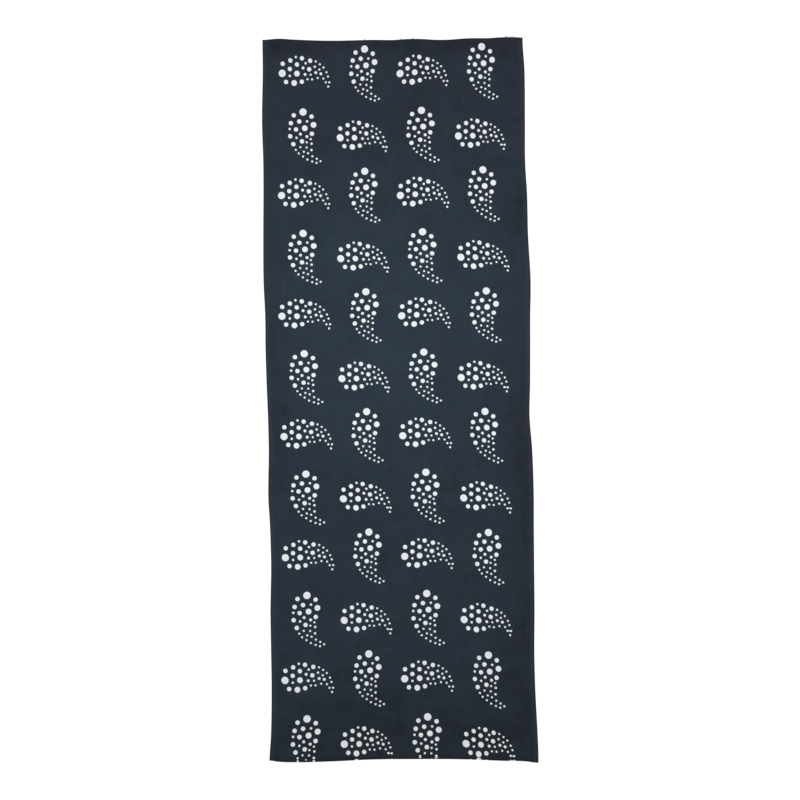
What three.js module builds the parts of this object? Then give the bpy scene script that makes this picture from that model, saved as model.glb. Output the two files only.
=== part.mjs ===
// An oblong bandana: one length of thin dark cotton, hemmed all round and lying flat with its printed side up.
// Millimetres. X runs across the cloth, Y along it from foot to head, Z up. The origin is under the middle of
// the cloth, on the surface it lies on.
import * as THREE from 'three';

// The cloth as it was cut and hemmed
const CUT_WIDTH = 256;
const CUT_LENGTH = 700;
const CLOTH_THICKNESS = 1;

// The turned hem is thicker than the cloth. It starts as a rounded rim and steps down again on its inner side.
const HEM_THICKNESS = 1.6;
const HEM_RIM = 1.2;
const HEM_INNER = 3.2;
const HEM_STEP = 4.2;
const HEM_LINES = [ 0, HEM_RIM, HEM_INNER, HEM_STEP ];

// Facets between the hems are about this long
const FACET = 12;

const CLOTH_COLOUR = 0x2b353f;
const CLOTH_ROUGHNESS = 0.95;

// Where the two long edges lie, at stations from the foot to the head
const LONG_EDGES = [
	{ along: - 350, left: - 126.7, right: 134.2 },
	{ along: - 325, left: - 125.3, right: 133.4 },
	{ along: - 280, left: - 124.7, right: 131.1 },
	{ along: - 245, left: - 125.2, right: 130.2 },
	{ along: - 205, left: - 125.8, right: 130.4 },
	{ along: - 160, left: - 125.2, right: 130 },
	{ along: - 120, left: - 126.4, right: 129.7 },
	{ along: - 95, left: - 127.9, right: 129.7 },
	{ along: - 50, left: - 127.4, right: 128.2 },
	{ along: - 15, left: - 128.2, right: 125.4 },
	{ along: 15, left: - 129.5, right: 126 },
	{ along: 50, left: - 130.6, right: 126.2 },
	{ along: 80, left: - 130.9, right: 126.2 },
	{ along: 115, left: - 132.5, right: 126.6 },
	{ along: 160, left: - 132.8, right: 124.1 },
	{ along: 200, left: - 132.6, right: 123.1 },
	{ along: 230, left: - 132.8, right: 121.3 },
	{ along: 270, left: - 134, right: 121.1 },
	{ along: 320, left: - 133.3, right: 120.6 },
	{ along: 350, left: - 133.6, right: 118.8 },
];

// Where the two short edges lie, at stations across the cut width
const FOOT_EDGE = [
	{ across: - 128, along: - 350 },
	{ across: - 118, along: - 351.2 },
	{ across: - 100, along: - 351.5 },
	{ across: - 62, along: - 350.4 },
	{ across: - 30, along: - 348.9 },
	{ across: 10, along: - 348.5 },
	{ across: 55, along: - 348.7 },
	{ across: 94, along: - 350.1 },
	{ across: 114, along: - 350.4 },
	{ across: 128, along: - 352 },
];
const HEAD_EDGE = [
	{ across: - 128, along: 349.1 },
	{ across: - 112, along: 350.2 },
	{ across: - 96, along: 349.3 },
	{ across: - 64, along: 348.3 },
	{ across: - 16, along: 349.1 },
	{ across: 0, along: 349 },
	{ across: 16, along: 350 },
	{ across: 28, along: 350 },
	{ across: 42, along: 349.2 },
	{ across: 54, along: 349.3 },
	{ across: 74, along: 350.6 },
	{ across: 94, along: 350.7 },
	{ across: 106, along: 351.5 },
	{ across: 118, along: 351.8 },
	{ across: 128, along: 351.4 },
];

// Low waves where the cloth doesn't quite lie down. Each is an oval swell that fades to nothing at its rim, and
// turn is in degrees anticlockwise. All else lies on the surface.
const WAVES = [
	{ across: 97, along: - 205, halfWidth: 17, halfLength: 165, turn: 1, height: 1.6 },
	{ across: 95, along: 105, halfWidth: 15, halfLength: 170, turn: - 2, height: 1.2 },
	{ across: - 98, along: - 150, halfWidth: 18, halfLength: 150, turn: - 1, height: 1 },
	{ across: - 106, along: 150, halfWidth: 16, halfLength: 130, turn: 2, height: 0.9 },
	{ across: - 96, along: 334, halfWidth: 38, halfLength: 20, turn: 4, height: 1.5 },
	{ across: 88, along: 338, halfWidth: 44, halfLength: 22, turn: - 5, height: 1.8 },
	{ across: - 88, along: - 340, halfWidth: 46, halfLength: 22, turn: - 3, height: 1.6 },
	{ across: 116, along: - 338, halfWidth: 26, halfLength: 24, turn: 20, height: 2 },
	{ across: - 126, along: - 20, halfWidth: 14, halfLength: 70, turn: - 3, height: 1.4 },
	{ across: 124, along: - 5, halfWidth: 14, halfLength: 55, turn: 4, height: 1.8 },
	{ across: 96, along: - 232, halfWidth: 46, halfLength: 12, turn: 24, height: 0.8 },
	{ across: 22, along: 250, halfWidth: 22, halfLength: 60, turn: - 12, height: 0.7 },
	{ across: - 48, along: - 215, halfWidth: 24, halfLength: 70, turn: 9, height: 0.7 },
];

// A smooth curve through one column of a table, read by another
function column( table, by, read ) {

	const places = table.map( ( row ) => row[ by ] );
	const values = table.map( ( row ) => row[ read ] );
	const curve = new THREE.CubicInterpolant( places, values, 1 );
	return ( place ) => curve.evaluate( THREE.MathUtils.clamp( place, places[ 0 ], places[ places.length - 1 ] ) )[ 0 ];

}

const leftEdge = column( LONG_EDGES, 'along', 'left' );
const rightEdge = column( LONG_EDGES, 'along', 'right' );
const footEdge = column( FOOT_EDGE, 'across', 'along' );
const headEdge = column( HEAD_EDGE, 'across', 'along' );

// Grid lines over one side of the cut cloth: the hem's own lines at both ends and even ones between them
function gridLines( size ) {

	const half = size / 2;
	const inner = size - 2 * HEM_STEP;
	const facets = Math.round( inner / FACET );
	const between = Array.from( { length: facets - 1 }, ( _, i ) => HEM_STEP - half + inner * ( i + 1 ) / facets );
	const hem = HEM_LINES.map( ( line ) => half - line );
	return [ ...hem.map( ( line ) => - line ), ...between, ...hem.reverse() ];

}

// Where a point of the cut cloth lies, seen from above
function placed( across, along ) {

	const share = along / CUT_LENGTH + 0.5;
	const y = THREE.MathUtils.lerp( footEdge( across ), headEdge( across ), share );
	const x = THREE.MathUtils.lerp( leftEdge( y ), rightEdge( y ), across / CUT_WIDTH + 0.5 );
	return { x, y };

}

// How far the waves lift the cloth off the surface
function lift( x, y ) {

	let height = 0;
	for ( const wave of WAVES ) {

		const turn = THREE.MathUtils.degToRad( wave.turn );
		const [ dx, dy ] = [ x - wave.across, y - wave.along ];
		const over = ( dx * Math.cos( turn ) + dy * Math.sin( turn ) ) / wave.halfWidth;
		const up = ( dy * Math.cos( turn ) - dx * Math.sin( turn ) ) / wave.halfLength;
		const reach = Math.hypot( over, up );
		if ( reach < 1 ) height += wave.height * ( 1 + Math.cos( Math.PI * reach ) ) / 2;

	}

	return height;

}

// The cloth's thickness at a distance from its nearest edge: a rim, the turned hem, and then one layer
function thickness( fromEdge ) {

	const { lerp, smoothstep } = THREE.MathUtils;
	const rising = smoothstep( fromEdge, 0, HEM_RIM );
	const falling = smoothstep( fromEdge, HEM_INNER, HEM_STEP );
	return lerp( CLOTH_THICKNESS, HEM_THICKNESS, rising - falling );

}

// The whole cloth is a flat box of facets, each corner of which is moved to where the cloth lies
function bandana() {

	const columns = gridLines( CUT_WIDTH );
	const rows = gridLines( CUT_LENGTH );
	const geometry = new THREE.BoxGeometry( 1, 1, 1, columns.length - 1, rows.length - 1, 1 );
	const corner = geometry.getAttribute( 'position' );

	for ( let i = 0; i < corner.count; i ++ ) {

		const across = columns[ Math.round( ( corner.getX( i ) + 0.5 ) * ( columns.length - 1 ) ) ];
		const along = rows[ Math.round( ( corner.getY( i ) + 0.5 ) * ( rows.length - 1 ) ) ];
		const fromEdge = Math.min( CUT_WIDTH / 2 - Math.abs( across ), CUT_LENGTH / 2 - Math.abs( along ) );
		const { x, y } = placed( across, along );
		const underside = lift( x, y );
		corner.setXYZ( i, x, y, corner.getZ( i ) > 0 ? underside + thickness( fromEdge ) : underside );

	}

	geometry.computeVertexNormals();
	const cotton = new THREE.MeshStandardMaterial( {
		color: CLOTH_COLOUR,
		roughness: CLOTH_ROUGHNESS,
		metalness: 0,
	} );
	const mesh = new THREE.Mesh( geometry, cotton );
	mesh.name = 'bandana';
	return mesh;

}

const model = new THREE.Group();
model.add( bandana() );

export default model;
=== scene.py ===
import math
from bisect import bisect_right
from collections import namedtuple

import bmesh
import bpy
from mathutils import Matrix, Vector, noise


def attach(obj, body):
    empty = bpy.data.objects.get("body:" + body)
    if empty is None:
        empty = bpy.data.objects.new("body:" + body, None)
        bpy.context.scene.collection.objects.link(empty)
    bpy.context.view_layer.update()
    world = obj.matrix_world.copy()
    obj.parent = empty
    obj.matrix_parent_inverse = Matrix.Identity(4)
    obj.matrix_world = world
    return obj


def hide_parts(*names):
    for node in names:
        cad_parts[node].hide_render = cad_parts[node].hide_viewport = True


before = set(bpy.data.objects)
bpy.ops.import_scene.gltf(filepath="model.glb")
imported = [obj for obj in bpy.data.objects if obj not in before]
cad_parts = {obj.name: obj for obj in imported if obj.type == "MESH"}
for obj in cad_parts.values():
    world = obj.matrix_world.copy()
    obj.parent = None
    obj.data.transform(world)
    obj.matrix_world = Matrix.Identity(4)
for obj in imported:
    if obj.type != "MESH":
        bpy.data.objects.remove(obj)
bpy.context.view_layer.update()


# The bandana itself: one oblong length of thin plain-weave cotton, dyed dark blue-grey and printed on its
# face with white dotted paisleys. Its four edges are turned twice to the back and sewn down as narrow hems,
# and it lies flat with its printed face up, not quite smooth.
CUT_WIDTH = 0.256
CUT_LENGTH = 0.700
CLOTH_THICKNESS = 0.0004
HEM_WIDTH = 0.0034

# How the turned hem is shaped from the edge inwards: heights of the printed face and of the back
HemLine = namedtuple("HemLine", "inset face back")
HEM_LINES = [
    HemLine(0.0000, 0.00060, 0.00046),
    HemLine(0.0001, 0.00082, 0.00024),
    HemLine(0.0003, 0.00102, 0.00006),
    HemLine(0.0007, 0.00112, 0.0),
    HemLine(0.0014, 0.00114, 0.0),
    HemLine(0.0020, 0.00110, 0.0),
    HemLine(0.0025, 0.00096, 0.00012),
    HemLine(0.0030, 0.00106, 0.0),
    HemLine(0.0034, 0.00096, 0.00002),
    HemLine(0.0037, 0.00076, 0.00030),
    HemLine(0.0046, 0.00054, 0.00012),
    HemLine(0.0062, 0.00042, 0.0),
]
GRID_STEP = 0.0023

# Where the two long edges lie, at stations from the foot to the head
LongEdge = namedtuple("LongEdge", "along left right")
LONG_EDGES = [
    LongEdge(-0.350, -0.1267, 0.1342),
    LongEdge(-0.325, -0.1253, 0.1334),
    LongEdge(-0.280, -0.1247, 0.1311),
    LongEdge(-0.245, -0.1252, 0.1302),
    LongEdge(-0.205, -0.1258, 0.1304),
    LongEdge(-0.160, -0.1252, 0.1300),
    LongEdge(-0.120, -0.1264, 0.1297),
    LongEdge(-0.095, -0.1279, 0.1297),
    LongEdge(-0.050, -0.1274, 0.1282),
    LongEdge(-0.015, -0.1282, 0.1254),
    LongEdge(0.015, -0.1295, 0.1260),
    LongEdge(0.050, -0.1306, 0.1262),
    LongEdge(0.080, -0.1309, 0.1262),
    LongEdge(0.115, -0.1325, 0.1266),
    LongEdge(0.160, -0.1328, 0.1241),
    LongEdge(0.200, -0.1326, 0.1231),
    LongEdge(0.230, -0.1328, 0.1213),
    LongEdge(0.270, -0.1340, 0.1211),
    LongEdge(0.320, -0.1333, 0.1206),
    LongEdge(0.350, -0.1336, 0.1188),
]

# Where the two short edges lie, at stations across the cut width
ShortEdge = namedtuple("ShortEdge", "across along")
FOOT_EDGE = [
    ShortEdge(-0.128, -0.3500),
    ShortEdge(-0.118, -0.3512),
    ShortEdge(-0.100, -0.3515),
    ShortEdge(-0.062, -0.3504),
    ShortEdge(-0.030, -0.3489),
    ShortEdge(0.010, -0.3485),
    ShortEdge(0.055, -0.3487),
    ShortEdge(0.094, -0.3501),
    ShortEdge(0.114, -0.3504),
    ShortEdge(0.128, -0.3520),
]
HEAD_EDGE = [
    ShortEdge(-0.128, 0.3491),
    ShortEdge(-0.112, 0.3502),
    ShortEdge(-0.096, 0.3493),
    ShortEdge(-0.064, 0.3483),
    ShortEdge(-0.016, 0.3491),
    ShortEdge(0.000, 0.3490),
    ShortEdge(0.016, 0.3500),
    ShortEdge(0.028, 0.3500),
    ShortEdge(0.042, 0.3492),
    ShortEdge(0.054, 0.3493),
    ShortEdge(0.074, 0.3506),
    ShortEdge(0.094, 0.3507),
    ShortEdge(0.106, 0.3515),
    ShortEdge(0.118, 0.3518),
    ShortEdge(0.128, 0.3514),
]

# Low waves where the cloth doesn't quite lie down: oval swells that fade to nothing at their rims
Wave = namedtuple("Wave", "across along half_width half_length turn height")
WAVES = [
    Wave(0.097, -0.205, 0.017, 0.165, 1, 0.0016),
    Wave(0.095, 0.105, 0.015, 0.170, -2, 0.0012),
    Wave(-0.098, -0.150, 0.018, 0.150, -1, 0.0010),
    Wave(-0.106, 0.150, 0.016, 0.130, 2, 0.0009),
    Wave(-0.096, 0.334, 0.038, 0.020, 4, 0.0015),
    Wave(0.088, 0.338, 0.044, 0.022, -5, 0.0018),
    Wave(-0.088, -0.340, 0.046, 0.022, -3, 0.0016),
    Wave(0.116, -0.338, 0.026, 0.024, 20, 0.0020),
    Wave(-0.126, -0.020, 0.014, 0.070, -3, 0.0014),
    Wave(0.124, -0.005, 0.014, 0.055, 4, 0.0018),
    Wave(0.096, -0.232, 0.046, 0.012, 24, 0.0008),
    Wave(0.022, 0.250, 0.022, 0.060, -12, 0.0007),
    Wave(-0.048, -0.215, 0.024, 0.070, 9, 0.0007),
]

# Creases left from wear: low narrow ridges between two places, with this share of their height at their ends
CREASE_END = 0.25
Crease = namedtuple("Crease", "across along to_across to_along half_width height")
CREASES = [
    Crease(0.1060, -0.2265, 0.1250, -0.2145, 0.0034, 0.0007),
    Crease(0.1180, 0.0600, 0.1185, -0.0180, 0.0042, 0.0006),
    Crease(0.1185, 0.2070, 0.1150, 0.1480, 0.0042, 0.0006),
    Crease(0.1205, -0.1080, 0.1215, -0.1560, 0.0040, 0.0006),
    Crease(-0.1230, 0.0670, -0.1215, 0.0370, 0.0044, 0.0006),
    Crease(-0.1220, 0.0020, -0.1120, -0.0140, 0.0036, 0.0006),
    Crease(-0.0740, -0.2410, -0.0150, -0.2330, 0.0052, 0.0005),
    Crease(-0.1300, 0.3400, -0.1130, 0.3385, 0.0046, 0.0007),
    Crease(0.0560, 0.3080, 0.0565, 0.2760, 0.0040, 0.0004),
    Crease(-0.0770, 0.0720, -0.0765, 0.0160, 0.0050, 0.0004),
    Crease(-0.1200, -0.1150, -0.1050, -0.1160, 0.0040, 0.0005),
    Crease(0.1095, -0.3030, 0.1100, -0.3210, 0.0040, 0.0006),
    Crease(-0.0580, 0.3420, -0.0585, 0.3260, 0.0040, 0.0005),
    Crease(0.0990, 0.3300, 0.1140, 0.3160, 0.0044, 0.0007),
]

# Soft unevenness all over, where the cotton has been washed and pressed: long rumples, short crinkles, and
# small puckers where the hem's stitches draw it up. Each is what stands above a level in its own layer of a
# soft noise, which runs from -1 to 1.
Unevenness = namedtuple("Unevenness", "width length height level layer")
RUMPLES = Unevenness(0.022, 0.060, 0.00035, -0.15, 3.0)
CRINKLES = Unevenness(0.0075, 0.0075, 0.00008, 0.0, 7.0)
PUCKERS = Unevenness(0.0060, 0.0060, 0.00016, -0.10, 11.0)
PUCKER_REACH = 0.011

# Places that are nearer to each other than this are the same place
SAME_PLACE = 0.000001


def smooth_through(table, by, read):
    """A smooth curve through one column of a table, read by another column."""
    places = [getattr(row, by) for row in table]
    values = [getattr(row, read) for row in table]
    chords = [(values[i + 1] - values[i]) / (places[i + 1] - places[i]) for i in range(len(table) - 1)]
    slopes = [0.0, *((a + b) / 2 for a, b in zip(chords, chords[1:])), 0.0]

    def curve(place):
        place = min(max(place, places[0]), places[-1])
        i = min(bisect_right(places, place), len(places) - 1) - 1
        span = places[i + 1] - places[i]
        t = (place - places[i]) / span
        rise = values[i + 1] - values[i]
        bend = t * (1 - t) * ((1 - t) * (slopes[i] * span - rise) - t * (slopes[i + 1] * span - rise))
        return values[i] + t * rise + bend

    return curve


left_edge = smooth_through(LONG_EDGES, "along", "left")
right_edge = smooth_through(LONG_EDGES, "along", "right")
foot_edge = smooth_through(FOOT_EDGE, "across", "along")
head_edge = smooth_through(HEAD_EDGE, "across", "along")


def placed(across, along):
    """Where a point of the cut cloth lies, seen from above."""
    share = along / CUT_LENGTH + 0.5
    y = foot_edge(across) * (1 - share) + head_edge(across) * share
    side = across / CUT_WIDTH + 0.5
    x = left_edge(y) * (1 - side) + right_edge(y) * side
    return x, y


def unevenness(kind, x, y):
    """Height of the rumples, the crinkles or the puckers at a place."""
    soft = noise.noise(Vector((x / kind.width, y / kind.length, kind.layer)))
    return kind.height * max(soft - kind.level, 0.0)


def lift(x, y):
    """How far the waves, creases and rumples hold the cloth off the surface."""
    height = 0.0
    for wave in WAVES:
        turn = math.radians(wave.turn)
        dx, dy = x - wave.across, y - wave.along
        over = (dx * math.cos(turn) + dy * math.sin(turn)) / wave.half_width
        up = (dy * math.cos(turn) - dx * math.sin(turn)) / wave.half_length
        reach = math.hypot(over, up)
        if reach < 1:
            height += wave.height * (1 + math.cos(math.pi * reach)) / 2
    for crease in CREASES:
        run_x, run_y = crease.to_across - crease.across, crease.to_along - crease.along
        share = ((x - crease.across) * run_x + (y - crease.along) * run_y) / (run_x * run_x + run_y * run_y)
        share = min(max(share, 0.0), 1.0)
        off_x = x - crease.across - share * run_x
        off_y = y - crease.along - share * run_y
        reach = math.hypot(off_x, off_y) / crease.half_width
        if reach < 1:
            fullness = CREASE_END + 4 * (1 - CREASE_END) * share * (1 - share)
            height += crease.height * fullness * (1 + math.cos(math.pi * reach)) / 2
    return height + unevenness(RUMPLES, x, y) + unevenness(CRINKLES, x, y)


def hem_height(inset, side):
    """Height of the printed face or of the back at a distance from the nearest edge."""
    for outer, inner in zip(HEM_LINES, HEM_LINES[1:]):
        if inset <= inner.inset:
            t = max(inset - outer.inset, 0.0) / (inner.inset - outer.inset)
            return getattr(outer, side) * (1 - t) + getattr(inner, side) * t
    return CLOTH_THICKNESS if side == "face" else 0.0


def surface(across, along, side):
    """Where a point of the cut cloth lies, on its printed face or on its back."""
    x, y = placed(across, along)
    inset = min(CUT_WIDTH / 2 - abs(across), CUT_LENGTH / 2 - abs(along))
    drawn_up = unevenness(PUCKERS, across, along) * max(1 - inset / PUCKER_REACH, 0.0)
    return Vector((x, y, lift(x, y) + drawn_up + hem_height(inset, side)))


def grid_lines(size):
    """Lines over one side of the cut cloth: the hem's own at both ends and even ones between them."""
    hem = [line.inset - size / 2 for line in HEM_LINES]
    inner = -2 * hem[-1]
    count = round(inner / GRID_STEP)
    between = [hem[-1] + inner * i / count for i in range(1, count)]
    return hem + between + [-line for line in reversed(hem)]


# Where the cloth's parts lie on its second map, which has no stretch: the face in two halves side by side,
# and under them the back, turned on its side. The rim is a narrow strip outside the face's edge.
FACE_SCALE = 1.89
BACK_SCALE = 1.20
MAP_MARGIN = 0.004
HALF_STEP = 0.506
FACE_BOTTOM = 0.325
RIM_STRIP = 0.0006


def place_on_map(across, along, part):
    """Where a point of the cut cloth lies on the second map, from 0 to 1 both ways."""
    from_side = across + CUT_WIDTH / 2
    from_foot = along + CUT_LENGTH / 2
    if part == "back":
        return MAP_MARGIN + from_foot * BACK_SCALE, MAP_MARGIN + from_side * BACK_SCALE
    u = MAP_MARGIN + (from_side + RIM_STRIP) * FACE_SCALE
    if part == "upper half":
        return u + HALF_STEP, FACE_BOTTOM + (along + GRID_STEP) * FACE_SCALE
    return u, FACE_BOTTOM + (from_foot + RIM_STRIP) * FACE_SCALE


def cloth_mesh():
    """The cloth as a closed thin sheet, its printed face up, with a map of the cut cloth in metres."""
    columns, rows = grid_lines(CUT_WIDTH), grid_lines(CUT_LENGTH)
    bm = bmesh.new()
    bmesh.ops.create_grid(bm, x_segments=len(columns) - 1, y_segments=len(rows) - 1, size=0.5)
    made = bmesh.ops.extrude_face_region(bm, geom=bm.faces[:], use_keep_orig=True)
    face_side = {v for v in made["geom"] if isinstance(v, bmesh.types.BMVert)}
    cut = bm.loops.layers.uv.new("cut_cloth")
    panels = bm.loops.layers.uv.new("OFBake")
    flat = {}
    for vert in bm.verts:
        across = columns[round((vert.co.x + 0.5) * (len(columns) - 1))]
        along = rows[round((vert.co.y + 0.5) * (len(rows) - 1))]
        flat[vert] = (across, along)
        vert.co = surface(across, along, "face" if vert in face_side else "back")
    for face in bm.faces:
        places = [flat[vert] for vert in face.verts]
        backs = [vert not in face_side for vert in face.verts]
        inset = min(min(CUT_WIDTH / 2 - abs(place[0]), CUT_LENGTH / 2 - abs(place[1])) for place in places)
        face.material_index = 1 if all(backs) and inset >= HEM_WIDTH - SAME_PLACE else 0
        face.smooth = True
        upper = sum(place[1] for place in places) > 0
        part = "back" if all(backs) else "upper half" if upper else "lower half"
        rim = any(backs) and not all(backs)
        for loop in face.loops:
            across, along = flat[loop.vert]
            loop[cut].uv = across, along
            if rim and loop.vert not in face_side:
                if abs(across) > CUT_WIDTH / 2 - SAME_PLACE:
                    across += math.copysign(RIM_STRIP, across)
                if abs(along) > CUT_LENGTH / 2 - SAME_PLACE:
                    along += math.copysign(RIM_STRIP, along)
            loop[panels].uv = place_on_map(across, along, part)
    bmesh.ops.recalc_face_normals(bm, faces=bm.faces[:])
    mesh = bpy.data.meshes.new("bandana_cloth")
    bm.to_mesh(mesh)
    bm.free()
    return mesh


class Dye:
    """One socket of a finish. Sums written on it add the matching Math nodes."""

    def __init__(self, tree, socket=None):
        self.tree = tree
        self.socket = socket

    def node(self, kind, settings={}, sockets={}, out=0):
        """Any node, with its settings, the values or links of its sockets, and the output to read."""
        node = self.tree.nodes.new(kind)
        for name, value in settings.items():
            setattr(node, name, value)
        for name, value in sockets.items():
            if isinstance(value, Dye):
                self.tree.links.new(value.socket, node.inputs[name])
            else:
                node.inputs[name].default_value = value
        return Dye(self.tree, node.outputs[out] if node.outputs else None)

    def other(self, out):
        """Another output of the same node."""
        return Dye(self.tree, self.socket.node.outputs[out])

    def sum_of(self, operation, *values):
        return self.node("ShaderNodeMath", {"operation": operation}, dict(enumerate(values)))

    def __add__(self, more):
        return self.sum_of("ADD", self, more)

    __radd__ = __add__

    def __sub__(self, less):
        return self.sum_of("SUBTRACT", self, less)

    def __rsub__(self, start):
        return self.sum_of("SUBTRACT", start, self)

    def __mul__(self, times):
        return self.sum_of("MULTIPLY", self, times)

    __rmul__ = __mul__

    def __truediv__(self, by):
        return self.sum_of("DIVIDE", self, by)

    def __abs__(self):
        return self.sum_of("ABSOLUTE", self)

    def floor(self):
        return self.sum_of("FLOOR", self)

    def distance(self, start, end):
        return self.node("ShaderNodeVectorMath", {"operation": "DISTANCE"}, {0: start, 1: end}, "Value")

    def least(self, other):
        return self.sum_of("MINIMUM", self, other)

    def most(self, other):
        return self.sum_of("MAXIMUM", self, other)

    def sine(self):
        return self.sum_of("SINE", self)

    def fade(self, none, full):
        """0 at one value and 1 at the other, smoothly between them."""
        return self.node(
            "ShaderNodeMapRange",
            {"interpolation_type": "SMOOTHSTEP"},
            {"Value": self, "From Min": none, "From Max": full, "To Min": 0.0, "To Max": 1.0},
        )


# The print: a dotted paisley drawn lying and drawn upright, which take turns like the squares of a
# chessboard, in four columns. White pigment is printed on the dyed cloth. Sizes are in metres on the cut
# cloth.
COLUMNS = 4
COLUMN_PITCH = 0.0579
ROW_PITCH = 0.05836
FIRST_COLUMN = -0.0902
FIRST_ROW = 0.3155

# The cloth has been pulled a little since it was printed, so columns lean, spread and bow, and rows do too
# and are stretched
COLUMN_SLANT = -0.008
COLUMN_SPREAD = 0.017
COLUMN_BOW = -0.005
ROW_SLANT = 0.002
ROW_SPREAD = -0.017
ROW_BOW = 0.013
ROW_STRETCH = -0.106

# The print runs on past the foot as its own mirror image, from this far inside the edge
BLEED = 0.0025

# Both drawings are charted on squared paper, in half millimetres from the middle of their largest dot, and
# their dots have six sizes. The bridge joins two dots of the tail, only where column and row are odd.
HUGE = 6.9
LARGE = 5.5
MIDDLING = 4.2
SMALL = 2.8
FINE = 2.3
TINY = 2.0
BRIDGE = 1.3
Dot = namedtuple("Dot", "lane right up size")
LYING = [
    Dot("back", 0, 0, HUGE),
    Dot("back", 0.5, 9, MIDDLING),
    Dot("back", 8, 12.5, MIDDLING),
    Dot("back", 13.5, 16, FINE),
    Dot("back", 19.5, 15, MIDDLING),
    Dot("back", 27.5, 13, MIDDLING),
    Dot("back", 33, 12.5, TINY),
    Dot("back", 37, 10, TINY),
    Dot("back", 40.5, 7, TINY),
    Dot("back", 43.5, 2.5, TINY),
    Dot("back", 45, -1.5, TINY),
    Dot("back", 46.5, -7, TINY),
    Dot("bridge", 44.5, -7, BRIDGE),
    Dot("back", 45.5, -11, TINY),
    Dot("belly", 4, -8, MIDDLING),
    Dot("belly", 12, -8.5, LARGE),
    Dot("belly", 19.5, -7, MIDDLING),
    Dot("belly", 25, -4.5, TINY),
    Dot("belly", 29.5, -4.5, TINY),
    Dot("belly", 35, -3, TINY),
    Dot("belly", 40.5, -3.5, TINY),
    Dot("belly", 43, -7, TINY),
    Dot("inside", 7.5, 4.5, MIDDLING),
    Dot("inside", 7.5, -2, FINE),
    Dot("inside", 14.5, 9, MIDDLING),
    Dot("inside", 14.5, 0.5, LARGE),
    Dot("inside", 23, 10.5, FINE),
    Dot("inside", 20.5, 6, SMALL),
    Dot("inside", 22.5, 0, SMALL),
    Dot("inside", 26.5, 5, MIDDLING),
    Dot("inside", 28, 0, TINY),
    Dot("inside", 32, 7.5, FINE),
    Dot("inside", 33, 2, SMALL),
    Dot("inside", 36.5, 5, TINY),
    Dot("inside", 38, 1, SMALL),
]
UPRIGHT = [
    Dot("back", 0, 0, HUGE),
    Dot("back", -9, -3, MIDDLING),
    Dot("back", -12, -10.5, MIDDLING),
    Dot("back", -13.5, -16, FINE),
    Dot("back", -13.5, -23, MIDDLING),
    Dot("back", -11, -30.5, MIDDLING),
    Dot("back", -9, -36, TINY),
    Dot("back", -6.5, -39.5, TINY),
    Dot("back", -2.5, -42.5, TINY),
    Dot("back", 1.5, -45.5, TINY),
    Dot("back", 6, -47.5, TINY),
    Dot("back", 10, -49, TINY),
    Dot("back", 14, -47.5, TINY),
    Dot("belly", 8, -4.5, MIDDLING),
    Dot("belly", 9.5, -12.5, LARGE),
    Dot("belly", 7.5, -21, MIDDLING),
    Dot("belly", 6, -26, TINY),
    Dot("belly", 6.5, -30.5, FINE),
    Dot("belly", 6, -36.5, FINE),
    Dot("belly", 6.5, -42.5, TINY),
    Dot("belly", 10.5, -45, TINY),
    Dot("inside", -4, -9, MIDDLING),
    Dot("inside", 3.5, -9, FINE),
    Dot("inside", -7.5, -16.5, MIDDLING),
    Dot("inside", 1, -15.5, LARGE),
    Dot("inside", -7.5, -24.5, FINE),
    Dot("inside", -3.5, -21, SMALL),
    Dot("inside", 2.5, -23.5, SMALL),
    Dot("inside", -2.5, -28, MIDDLING),
    Dot("inside", 2, -29, TINY),
    Dot("inside", -4.5, -33.5, TINY),
    Dot("inside", 1.5, -34, TINY),
    Dot("inside", -1.5, -38, TINY),
    Dot("inside", 2.5, -39.5, TINY),
]
MM = 0.001

# The middles of both drawings. One chart holds them side by side, the upright one this far to the right.
LYING_MIDDLE = (22, 2.5)
UPRIGHT_MIDDLE = (0, -23.5)
CHART_GAP = 0.1

# Where the four figures of a repeat sit in their cells, and how they are turned, leant and stretched there
Figure = namedtuple("Figure", "across along turn lean width height")
FIGURES = {
    ("even column", "even row"): Figure(-0.0004, 0.0019, 0, 0, 1.0, 1.0),
    ("odd column", "even row"): Figure(0.0011, -0.0004, 0, 0, 1.0, 1.0),
    ("even column", "odd row"): Figure(0.0003, -0.0015, 3, 0, 1.02, 1.0),
    ("odd column", "odd row"): Figure(-0.0012, -0.0012, -3.5, 5, 0.975, 0.99),
}

# The ink's edges: how far they fade each way, how ragged the yarns make them, and the grain of that
INK_EDGE = 0.00010
INK_RAGGED = 0.00016
INK_GRAIN = 1400.0


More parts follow.
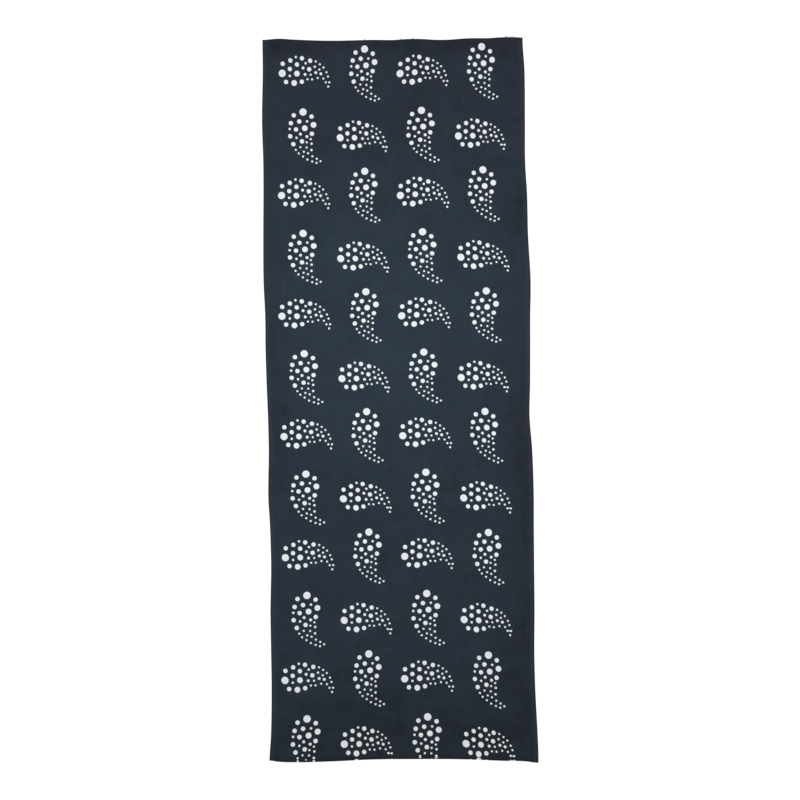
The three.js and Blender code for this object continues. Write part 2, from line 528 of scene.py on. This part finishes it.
def dotted_print(dye, across, along):
    """How white the print is at a place on the cut cloth, from 0 to 1."""
    bleed_line = BLEED - CUT_LENGTH / 2
    inked = abs(along - bleed_line) + bleed_line
    x = across + inked * (COLUMN_SLANT + across * COLUMN_SPREAD + inked * COLUMN_BOW)
    y = inked + across * (ROW_SLANT + inked * ROW_SPREAD) + inked * inked * (ROW_BOW + inked * ROW_STRETCH)
    column = ((x - FIRST_COLUMN) / COLUMN_PITCH + 0.5).floor()
    row = ((FIRST_ROW - y) / ROW_PITCH + 0.5).floor()
    in_cell_x = x - FIRST_COLUMN - column * COLUMN_PITCH
    in_cell_y = y - FIRST_ROW + row * ROW_PITCH
    printed = dye.sum_of("LESS_THAN", abs(column - (COLUMNS - 1) / 2), COLUMNS / 2)
    printed = printed * dye.sum_of("GREATER_THAN", row, -0.5)
    odd_column = abs(column - (column / 2).floor() * 2)
    odd_row = abs(row - (row / 2).floor() * 2)
    both_odd = odd_column * odd_row
    upright = odd_column + odd_row - both_odd * 2

    def by_turns(read):
        """A number of the figure whose cell this is."""
        first, beside, below, last = (read(figure) for figure in FIGURES.values())
        return first + odd_column * (beside - first) + odd_row * (below - first) + both_odd * (
            last - beside - below + first
        )

    def chart_axes(figure):
        """The matrix that turns a place in the cell into a place on the chart."""
        right = math.radians(figure.turn)
        upwards = math.radians(figure.turn + 90 + figure.lean)
        drawn = Matrix((
            (figure.width * math.cos(right), figure.height * math.cos(upwards)),
            (figure.width * math.sin(right), figure.height * math.sin(upwards)),
        ))
        return drawn.inverted()

    from_x = in_cell_x - by_turns(lambda figure: figure.across)
    from_y = in_cell_y - by_turns(lambda figure: figure.along)
    right = from_x * by_turns(lambda figure: chart_axes(figure)[0][0])
    right = right + from_y * by_turns(lambda figure: chart_axes(figure)[0][1])
    upwards = from_x * by_turns(lambda figure: chart_axes(figure)[1][0])
    upwards = upwards + from_y * by_turns(lambda figure: chart_axes(figure)[1][1])
    place = dye.node("ShaderNodeCombineXYZ", {}, {"X": right + upright * CHART_GAP, "Y": upwards})
    nearest = None
    for drawing, middle, shift in ((LYING, LYING_MIDDLE, 0.0), (UPRIGHT, UPRIGHT_MIDDLE, CHART_GAP)):
        for dot in drawing:
            centre = ((dot.right - middle[0]) * MM + shift, (dot.up - middle[1]) * MM, 0.0)
            reach = dye.distance(place, centre)
            radius = dot.size * MM / 2
            outside = reach - radius if dot.lane != "bridge" else reach + radius - both_odd * (radius * 2)
            nearest = outside if nearest is None else nearest.least(outside)
    yarns = dye.node("ShaderNodeCombineXYZ", {}, {"X": across, "Y": along})
    ragged = dye.node("ShaderNodeTexNoise", {}, {"Vector": yarns, "Scale": INK_GRAIN, "Detail": 1.0}) - 0.5
    return (nearest + ragged * INK_RAGGED).fade(INK_EDGE, -INK_EDGE) * printed


# Colours of the dyed yarn where it is deepest, where it has worn and where it has turned a little purple, of
# the ink, and of the worn unprinted back, with how strongly the print shows on each side
DEEP_DYE = (0.0075, 0.0120, 0.0168, 1)
WORN_DYE = (0.0245, 0.0455, 0.0700, 1)
PURPLE_DYE = (0.0290, 0.0270, 0.0450, 1)
WHITE_INK = (0.835, 0.870, 0.895, 1)
BACK_DYE = (0.036, 0.055, 0.082, 1)
PRINT_ON_FACE = 0.985
PRINT_ON_BACK = 0.12
COTTON_ROUGHNESS = 0.92
INK_SMOOTHER = 0.12

# The weave: its pitch, how high its yarns stand, their mean share of that height and how much painted shade
# they put in the dye between them, with painted light on their tops
YARN_PITCH = 0.00036
YARN_HEIGHT = 0.000030
YARN_MEAN = 0.64
YARN_SHADE = 0.18

# How worn the dye is, and its uneven clouds, large and small, its streaks along and across, and its flecks.
# Each has its own layer of a soft noise, and fades the dye by up to half its strength each way.
DYE_WORN = 0.455
DyeCloud = namedtuple("DyeCloud", "width length detail layer strength")
DYE_CLOUDS = [
    DyeCloud(0.034, 0.026, 2.0, 1.0, 0.54),
    DyeCloud(0.008, 0.007, 2.0, 6.0, 0.30),
    DyeCloud(0.0036, 0.042, 1.0, 2.0, 0.20),
    DyeCloud(0.050, 0.0036, 1.0, 3.0, 0.06),
    DyeCloud(0.0012, 0.0040, 1.0, 4.0, 0.12),
]

# Painted light along the turned hems, at distances from the edge. Crests are a painted highlight where the
# raised hem catches the light: they begin, are full between two distances and end. Rims are painted shade
# where the edge turns down from the light: they are full at one distance and end at another.
HemCrest = namedtuple("HemCrest", "begins full full_to ends shade")
SIDE_CREST = HemCrest(0.0008, 0.0018, 0.0020, 0.0060, 0.27)
HEAD_CREST = HemCrest(0.0012, 0.0020, 0.0022, 0.0040, 0.08)
HemRim = namedtuple("HemRim", "full ends shade")
SIDE_RIM = HemRim(0.0, 0.0011, 0.25)
HEAD_RIM = HemRim(0.0002, 0.0016, 0.32)
FOOT_RIM = HemRim(0.0004, 0.0062, 0.30)

# Where the dye has turned purple: a little all over and in clouds, more along the sides, towards the head and
# on the right-hand hem below the middle, and less towards the foot
PURPLE_ALL_OVER = 0.12
PURPLE_CLOUD = DyeCloud(0.014, 0.016, 3.0, 5.0, 1.1)
PurpleShade = namedtuple("PurpleShade", "none full shade")
PURPLE_SIDES = PurpleShade(0.012, 0.003, 0.10)
PURPLE_HEAD = PurpleShade(0.12, 0.30, 0.10)
PURPLE_FOOT = PurpleShade(-0.22, -0.33, -0.09)
PURPLE_RIGHT_HEM = PurpleShade(0.0060, 0.0020, 0.20)
PURPLE_BELOW = PurpleShade(0.03, -0.04, 1.0)

# Where the cloth is made paler or deeper, partly uneven dye and mostly painted shade and painted light: ovals
# on the cut cloth that fade to nothing at their rims, turned in degrees anticlockwise. The broad ones paint
# shade along the sides, at the head and towards both ends, where slopes turn from the light and the light
# falls off, and a painted highlight over the middle. The narrow ones are painted shade along creases, and the
# smallest dark one is a stain.
ShadePatch = namedtuple("ShadePatch", "across along half_width half_length turn shade")
SHADE_PATCHES = [
    ShadePatch(-0.020, 0.078, 0.190, 0.200, 0, 0.24),
    ShadePatch(0.000, 0.275, 0.150, 0.060, 0, -0.09),
    ShadePatch(0.000, -0.350, 0.210, 0.130, 0, -0.29),
    ShadePatch(0.110, -0.275, 0.060, 0.110, 0, -0.12),
    ShadePatch(0.124, -0.035, 0.024, 0.130, 0, -0.13),
    ShadePatch(0.118, 0.172, 0.026, 0.042, 0, -0.12),
    ShadePatch(-0.124, 0.032, 0.028, 0.075, 0, -0.10),
    ShadePatch(-0.100, 0.350, 0.060, 0.026, 0, -0.21),
    ShadePatch(0.100, 0.350, 0.056, 0.026, 0, -0.18),
    ShadePatch(0.000, 0.352, 0.160, 0.026, 0, -0.20),
    ShadePatch(-0.115, 0.197, 0.040, 0.032, 0, 0.13),
    ShadePatch(0.122, 0.120, 0.022, 0.034, 0, 0.08),
    ShadePatch(0.1135, -0.2205, 0.0016, 0.012, -58, -0.35),
    ShadePatch(0.1210, 0.021, 0.0026, 0.046, 0, -0.17),
    ShadePatch(0.1200, 0.178, 0.0030, 0.038, -3, -0.17),
    ShadePatch(0.1190, -0.132, 0.0030, 0.030, 1, -0.15),
    ShadePatch(-0.1190, 0.052, 0.0036, 0.020, 3, -0.18),
    ShadePatch(-0.1140, -0.006, 0.0030, 0.012, 35, -0.17),
    ShadePatch(-0.0420, -0.238, 0.0030, 0.034, -82, -0.12),
    ShadePatch(-0.1160, 0.340, 0.009, 0.005, 0, -0.17),
    ShadePatch(0.0640, 0.292, 0.0020, 0.018, 0, -0.17),
    ShadePatch(-0.1120, -0.116, 0.009, 0.0022, 0, -0.15),
    ShadePatch(-0.0550, 0.334, 0.0024, 0.010, 0, 0.13),
    ShadePatch(0.1130, 0.323, 0.005, 0.009, 50, 0.17),
    ShadePatch(0.0620, 0.083, 0.0018, 0.0018, 0, -0.37),
    ShadePatch(-0.0110, -0.137, 0.004, 0.006, 0, -0.12),
    ShadePatch(0.126, -0.120, 0.038, 0.300, 0, -0.15),
    ShadePatch(0.122, -0.230, 0.026, 0.100, 0, -0.08),
    ShadePatch(-0.130, -0.060, 0.034, 0.340, 0, -0.08),
    ShadePatch(0.030, 0.346, 0.100, 0.024, 0, -0.12),
    ShadePatch(0.114, 0.336, 0.030, 0.036, 0, -0.22),
    ShadePatch(-0.118, 0.338, 0.030, 0.026, 0, -0.12),
    ShadePatch(0.045, 0.325, 0.042, 0.034, 0, -0.12),
    ShadePatch(-0.048, 0.085, 0.048, 0.048, 0, -0.12),
    ShadePatch(0.028, 0.085, 0.045, 0.022, 0, -0.10),
    ShadePatch(-0.120, -0.155, 0.026, 0.032, 0, 0.11),
    ShadePatch(-0.124, -0.085, 0.016, 0.020, 0, -0.13),
    ShadePatch(0.124, 0.197, 0.012, 0.028, 0, -0.16),
    ShadePatch(0.005, -0.337, 0.075, 0.024, 0, 0.11),
    ShadePatch(-0.118, -0.318, 0.024, 0.028, 0, -0.13),
    ShadePatch(0.120, -0.326, 0.032, 0.046, 0, -0.12),
    ShadePatch(0.082, -0.184, 0.032, 0.036, 0, -0.09),
]


def yarn_relief(dye, across, along):
    """The plain weave: warp and weft yarns that pass over and under each other."""
    warp = (across * (math.pi / YARN_PITCH)).sine()
    weft = (along * (math.pi / YARN_PITCH)).sine()
    return abs(warp) * 0.5 + abs(weft) * 0.5 + warp * weft * 0.5


def cloud(dye, across, along, kind):
    """Soft uneven noise about zero, stretched along one set of yarns or the other."""
    place = dye.node(
        "ShaderNodeCombineXYZ",
        {},
        {"X": across / kind.width, "Y": along / kind.length, "Z": kind.layer},
    )
    soft = dye.node("ShaderNodeTexNoise", {}, {"Vector": place, "Scale": 1.0, "Detail": kind.detail})
    return (soft - 0.5) * kind.strength


def dye_and_painted_light(dye, across, along):
    """How pale the dye is made, from 0 to 1: uneven dye in soft clouds, streaks along the yarns and flecks,
    and listed patches of painted shade and painted light.
    """
    tone_and_painted_light = DYE_WORN
    for kind in DYE_CLOUDS:
        tone_and_painted_light = tone_and_painted_light + cloud(dye, across, along, kind)
    on_cloth = dye.node("ShaderNodeCombineXYZ", {}, {"X": across, "Y": along})
    for patch in SHADE_PATCHES:
        in_patch = dye.node(
            "ShaderNodeMapping",
            {"vector_type": "TEXTURE"},
            {
                "Vector": on_cloth,
                "Location": (patch.across, patch.along, 0.0),
                "Rotation": (0.0, 0.0, math.radians(patch.turn)),
                "Scale": (patch.half_width, patch.half_length, 1.0),
            },
        )
        reach = dye.node("ShaderNodeVectorMath", {"operation": "LENGTH"}, {0: in_patch}, "Value")
        # each patch adds painted shade, or a painted highlight where its shade is above zero
        tone_and_painted_light = tone_and_painted_light + reach.fade(1.0, 0.0) * patch.shade
    return tone_and_painted_light


def hem_painted_light(across, along):
    """Painted light on the turned hems: a painted highlight on their crests, painted shade at their rims and
    along the foot.
    """
    from_side = CUT_WIDTH / 2 - abs(across)
    from_head = CUT_LENGTH / 2 - along
    from_foot = CUT_LENGTH / 2 + along

    def crest(inset, tone_and_painted_light):
        return inset.fade(tone_and_painted_light.begins, tone_and_painted_light.full) * inset.fade(tone_and_painted_light.ends, tone_and_painted_light.full_to) * tone_and_painted_light.shade

    def rim(inset, deep):
        return inset.fade(deep.ends, deep.full) * deep.shade

    # painted highlight on the crests, painted shade at the rims
    crests = crest(from_side, SIDE_CREST) + crest(from_head, HEAD_CREST)
    rims = rim(from_side, SIDE_RIM) + rim(from_head, HEAD_RIM)
    return crests - rims - rim(from_foot, FOOT_RIM)


def purple_tinge(dye, across, along):
    """How purple the dye has turned, from 0 up."""

    def shade(inset, kind):
        return inset.fade(kind.none, kind.full) * kind.shade

    purple = PURPLE_ALL_OVER + cloud(dye, across, along, PURPLE_CLOUD)
    purple = purple + shade(CUT_WIDTH / 2 - abs(across), PURPLE_SIDES)
    purple = purple + shade(along, PURPLE_HEAD) + shade(along, PURPLE_FOOT)
    purple = purple + shade(CUT_WIDTH / 2 - across, PURPLE_RIGHT_HEM) * shade(along, PURPLE_BELOW)
    return purple.most(0.0)


def cotton(name, worn_dye, print_strength):
    """Dyed cotton with the print on its face, or only showing through on its back, with painted shade and
    painted light mixed into its dye.
    """
    finish = bpy.data.materials.new(name)
    finish.use_nodes = True
    tree = finish.node_tree
    tree.nodes.clear()
    dye = Dye(tree)
    cut = dye.node("ShaderNodeUVMap", {"uv_map": "cut_cloth"})
    across = dye.node("ShaderNodeSeparateXYZ", {}, {"Vector": cut})
    along = across.other("Y")
    weave = yarn_relief(dye, across, along)
    # the dye's mix holds uneven dye and also painted shade and painted light from the patches, the hems and
    # the weave
    tone_and_painted_light = dye_and_painted_light(dye, across, along) + hem_painted_light(across, along) + (weave - YARN_MEAN) * YARN_SHADE
    cloth = dye.node(
        "ShaderNodeMix", {"data_type": "RGBA"}, {"Factor": tone_and_painted_light, "A": DEEP_DYE, "B": worn_dye}, "Result"
    )
    purple = purple_tinge(dye, across, along)
    mottled = dye.node(
        "ShaderNodeMix", {"data_type": "RGBA"}, {"Factor": purple, "A": cloth, "B": PURPLE_DYE}, "Result"
    )
    white = dotted_print(dye, across, along) * print_strength
    colour = dye.node(
        "ShaderNodeMix", {"data_type": "RGBA"}, {"Factor": white, "A": mottled, "B": WHITE_INK}, "Result"
    )
    bump = dye.node("ShaderNodeBump", {}, {"Height": weave * YARN_HEIGHT, "Distance": 1.0, "Strength": 1.0})
    shader = dye.node(
        "ShaderNodeBsdfPrincipled",
        {},
        {
            "Base Color": colour,
            "Roughness": COTTON_ROUGHNESS - white * INK_SMOOTHER,
            "Normal": bump,
            "Specular IOR Level": 0.25,
            "Sheen Weight": 0.05,
            "Sheen Roughness": 0.5,
        },
    )
    dye.node("ShaderNodeOutputMaterial", {}, {"Surface": shader})
    return finish


cloth = bpy.data.objects.new("bandana_cloth", cloth_mesh())
bpy.context.scene.collection.objects.link(cloth)
cloth.data.materials.append(cotton("printed_cotton", WORN_DYE, PRINT_ON_FACE))
cloth.data.materials.append(cotton("plain_cotton_back", BACK_DYE, PRINT_ON_BACK))
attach(cloth, "root")
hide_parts("bandana")


# The hem's stitches: dark sewing thread that matches the cloth, lockstitched by machine through every layer
# of the turned hems. One row of short stitches shows on the face and one on the back, half sunk in the hem.
STITCH_INSET = 0.0025
STITCH_PITCH = 0.0028
STITCH_LENGTH = 0.0023
STITCH_WIDTH = 0.00032
STITCH_DEPTH = 0.00024
STITCH_PROUD = {"face": 0.00004, "back": 0.0}
STITCH_SIDES = 6
STITCH_RINGS = 4

# The thread: its dye, deep and worn, and its twist, with how far uneven wear in flecks pales it and how far
# it is paler on the twist's ridges and deeper in its grooves
THREAD_DYE = (0.0140, 0.0190, 0.0280, 1)
THREAD_WORN = (0.0300, 0.0420, 0.0600, 1)
THREAD_TWIST = 0.0005
TWIST_HEIGHT = 0.00001
TWIST_SHADE = 0.1
FLECK_SHADE = 0.8
FLECK_GRAIN = 900.0


def stitch_ends():
    """Both ends of every stitch of one row, on the cut cloth: the long sides first, then the short ones."""
    for half, other_half, turned in (
        (CUT_LENGTH / 2, CUT_WIDTH / 2, False),
        (CUT_WIDTH / 2, CUT_LENGTH / 2, True),
    ):
        row = 2 * (half - STITCH_INSET)
        count = round(row / STITCH_PITCH)
        for edge in (-1, 1):
            beside = edge * (other_half - STITCH_INSET)
            for i in range(count):
                middle = row * ((i + 0.5) / count - 0.5)
                ends = [(beside, middle - STITCH_LENGTH / 2), (beside, middle + STITCH_LENGTH / 2)]
                yield [(run, side) for side, run in ends] if turned else ends


def stitch_mesh():
    """All the stitches, each a slim rounded grain that points along its hem."""
    bm = bmesh.new()
    bmesh.ops.create_uvsphere(bm, u_segments=STITCH_SIDES, v_segments=STITCH_RINGS, radius=1.0)
    for face in bm.faces:
        face.smooth = True
    grain = bpy.data.meshes.new("grain")
    bm.to_mesh(grain)
    bm.clear()
    for side, outwards in (("face", Vector((0, 0, 1))), ("back", Vector((0, 0, -1)))):
        for start, end in stitch_ends():
            first, last = surface(*start, side), surface(*end, side)
            along = (last - first).normalized()
            across = outwards.cross(along).normalized()
            up = along.cross(across)
            middle = (first + last) / 2 + up * STITCH_PROUD[side]
            shape = Matrix((
                across * (STITCH_WIDTH / 2),
                up * (STITCH_DEPTH / 2),
                along * (STITCH_LENGTH / 2),
            )).transposed().to_4x4()
            stitch = grain.copy()
            stitch.transform(Matrix.Translation(middle) @ shape)
            bm.from_mesh(stitch)
            bpy.data.meshes.remove(stitch)
    mesh = bpy.data.meshes.new("hem_stitching")
    bm.to_mesh(mesh)
    bm.free()
    return mesh


def sewing_thread():
    """Dark twisted cotton thread, worn paler in random flecks, and a little paler on the ridges of its twist
    and deeper in its grooves.
    """
    finish = bpy.data.materials.new("sewing_thread")
    finish.use_nodes = True
    tree = finish.node_tree
    tree.nodes.clear()
    dye = Dye(tree)
    place = dye.node("ShaderNodeTexCoord", {}, {}, "Object")
    x = dye.node("ShaderNodeSeparateXYZ", {}, {"Vector": place})
    y = x.other("Y")
    twist = ((x + y) * (2 * math.pi / THREAD_TWIST)).sine()
    flecks = dye.node("ShaderNodeTexNoise", {}, {"Vector": place, "Scale": FLECK_GRAIN, "Detail": 2.0})
    colour = dye.node(
        "ShaderNodeMix",
        {"data_type": "RGBA"},
        {"Factor": flecks * FLECK_SHADE + twist * TWIST_SHADE, "A": THREAD_DYE, "B": THREAD_WORN},
        "Result",
    )
    bump = dye.node("ShaderNodeBump", {}, {"Height": twist * TWIST_HEIGHT, "Distance": 1.0, "Strength": 1.0})
    shader = dye.node(
        "ShaderNodeBsdfPrincipled",
        {},
        {
            "Base Color": colour,
            "Roughness": 0.8,
            "Normal": bump,
            "Specular IOR Level": 0.3,
            "Sheen Weight": 0.1,
        },
    )
    dye.node("ShaderNodeOutputMaterial", {}, {"Surface": shader})
    return finish


stitching = bpy.data.objects.new("hem_stitching", stitch_mesh())
bpy.context.scene.collection.objects.link(stitching)
stitching.data.materials.append(sewing_thread())
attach(stitching, "root")


# Loose thread ends: cut ends of the same sewing thread, in pairs, from the needle and from the bobbin. They
# stick out of the head hem by a millimetre or so, and each bends over to one side.
LooseEnd = namedtuple("LooseEnd", "across reach bend")
LOOSE_ENDS = [
    LooseEnd(-0.0273, 0.0012, -0.0026),
    LooseEnd(-0.0270, 0.0009, -0.0060),
    LooseEnd(0.0081, 0.0010, 0.0021),
    LooseEnd(0.0086, 0.0013, 0.0032),
    LooseEnd(0.0188, 0.0012, 0.0020),
    LooseEnd(0.0209, 0.0011, -0.0019),
    LooseEnd(0.1115, 0.0012, -0.0024),
    LooseEnd(0.1120, 0.0015, -0.0050),
    LooseEnd(0.1174, 0.0008, -0.0040),
    LooseEnd(0.1178, 0.0013, 0.0024),
]
LOOSE_THICKNESS = 0.00036
LOOSE_ROOT = 0.0007
LOOSE_SUNK = 0.0005
LOOSE_DROP = 0.0003
LOOSE_SIDES = 6
LOOSE_STEPS = 6


def loose_end_mesh():
    """Each end is a ring swept round a short bend, from inside the hem outwards."""
    bm = bmesh.new()
    for end in LOOSE_ENDS:
        root = surface(end.across, CUT_LENGTH / 2 - LOOSE_ROOT, "face")
        root.z -= LOOSE_SUNK
        facing = Matrix.Translation(root) @ Matrix.Rotation(math.pi / 2, 4, "X")
        ring = bmesh.ops.create_circle(
            bm, cap_ends=True, segments=LOOSE_SIDES, radius=LOOSE_THICKNESS / 2, matrix=facing
        )
        cut_face = ring["verts"][0].link_faces[0]
        round_bend = math.asin((end.reach + LOOSE_ROOT) / abs(end.bend))
        before = set(bm.verts)
        bmesh.ops.spin(
            bm,
            geom=[*ring["verts"], *cut_face.edges, cut_face],
            cent=root + Vector((end.bend, 0, 0)),
            axis=(0, 0, 1),
            angle=-math.copysign(round_bend, end.bend),
            steps=LOOSE_STEPS,
        )
        for vert in set(bm.verts) - before:
            vert.co.z -= LOOSE_DROP * ((vert.co.y - root.y) / (end.reach + LOOSE_ROOT)) ** 2
    for face in bm.faces:
        face.smooth = True
    bmesh.ops.recalc_face_normals(bm, faces=bm.faces[:])
    mesh = bpy.data.meshes.new("loose_threads")
    bm.to_mesh(mesh)
    bm.free()
    return mesh


threads = bpy.data.objects.new("loose_threads", loose_end_mesh())
bpy.context.scene.collection.objects.link(threads)
threads.data.materials.append(bpy.data.materials["sewing_thread"])
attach(threads, "root")


# The surface it lies on: a plain white studio cove, a floor that curves up into low walls, much wider than
# the cloth, so that it is lit as in the photo and nothing else shows behind it.
COVE_WIDTH = 8.0
COVE_WALL = 1.8
COVE_CURVE = 0.9
COVE_FACETS = 10
FLOOR_DROP = 0.0002
PAINT = (0.36, 0.36, 0.36, 1)
PAINT_ROUGHNESS = 0.9
PAINT_SHEEN = 0.1
PAINT_GLOW = 0.80


def cove_mesh():
    """A box with no lid, its edges rounded and its faces turned inwards."""
    bm = bmesh.new()
    bmesh.ops.create_cube(bm, size=1.0)
    bmesh.ops.translate(bm, verts=bm.verts[:], vec=(0, 0, 0.5))
    bmesh.ops.scale(bm, verts=bm.verts[:], vec=(COVE_WIDTH, COVE_WIDTH, COVE_WALL))
    bmesh.ops.translate(bm, verts=bm.verts[:], vec=(0, 0, -FLOOR_DROP))
    top = [face for face in bm.faces if face.calc_center_median().z > COVE_WALL * 0.9]
    bmesh.ops.delete(bm, geom=top, context="FACES_ONLY")
    corners = [edge for edge in bm.edges if not edge.is_boundary]
    bmesh.ops.bevel(
        bm,
        geom=corners,
        offset=COVE_CURVE,
        affect="EDGES",
        segments=COVE_FACETS,
        profile=0.5,
        material=-1,
    )
    bmesh.ops.recalc_face_normals(bm, faces=bm.faces[:])
    bmesh.ops.reverse_faces(bm, faces=bm.faces[:])
    for face in bm.faces:
        face.smooth = True
    mesh = bpy.data.meshes.new("white_cove")
    bm.to_mesh(mesh)
    bm.free()
    return mesh


def white_paint():
    """Matt white paint with a glow of its own, so that it shows as pure white."""
    finish = bpy.data.materials.new("white_paint")
    finish.use_nodes = True
    shader = finish.node_tree.nodes["Principled BSDF"]
    shader.inputs["Base Color"].default_value = PAINT
    shader.inputs["Roughness"].default_value = PAINT_ROUGHNESS
    shader.inputs["Specular IOR Level"].default_value = PAINT_SHEEN
    shader.inputs["Emission Color"].default_value = (1, 1, 1, 1)
    shader.inputs["Emission Strength"].default_value = PAINT_GLOW
    return finish


cove = bpy.data.objects.new("white_cove", cove_mesh())
bpy.context.scene.collection.objects.link(cove)
cove.data.materials.append(white_paint())


# Light: an even pale room and a soft box above the middle, so that both ends of the cloth fall off a little
ROOM_LIGHT = 0.34
BOX_HEIGHT = 0.70
BOX_SIZE = 0.45
BOX_POWER = 3.22
BOX_ALONG = 0.075

world = bpy.data.worlds.new("pale_room")
world.use_nodes = True
world.node_tree.nodes["Background"].inputs["Color"].default_value = (1, 1, 1, 1)
world.node_tree.nodes["Background"].inputs["Strength"].default_value = ROOM_LIGHT
bpy.context.scene.world = world

lamp = bpy.data.lights.new("soft_box", "AREA")
lamp.shape = "SQUARE"
lamp.size = BOX_SIZE
lamp.energy = BOX_POWER
soft_box = bpy.data.objects.new("soft_box", lamp)
soft_box.location = (0, BOX_ALONG, BOX_HEIGHT)
soft_box.visible_camera = False
bpy.context.scene.collection.objects.link(soft_box)


# The camera looks straight down on the middle of the cloth and takes in 776 mm of the board each way
VIEW_SIZE = 0.776
LENS = 0.100
SENSOR = 0.036
VIEW_MIDDLE = (-0.00015, -0.0002)

lens = bpy.data.cameras.new("camera")
lens.lens = LENS * 1000
lens.sensor_width = SENSOR * 1000
camera = bpy.data.objects.new("camera", lens)
camera.location = (*VIEW_MIDDLE, VIEW_SIZE * LENS / SENSOR + CLOTH_THICKNESS)
bpy.context.scene.collection.objects.link(camera)
bpy.context.scene.camera = camera

bpy.context.scene.view_settings.view_transform = "Standard"
bpy.context.scene.view_settings.look = "None"
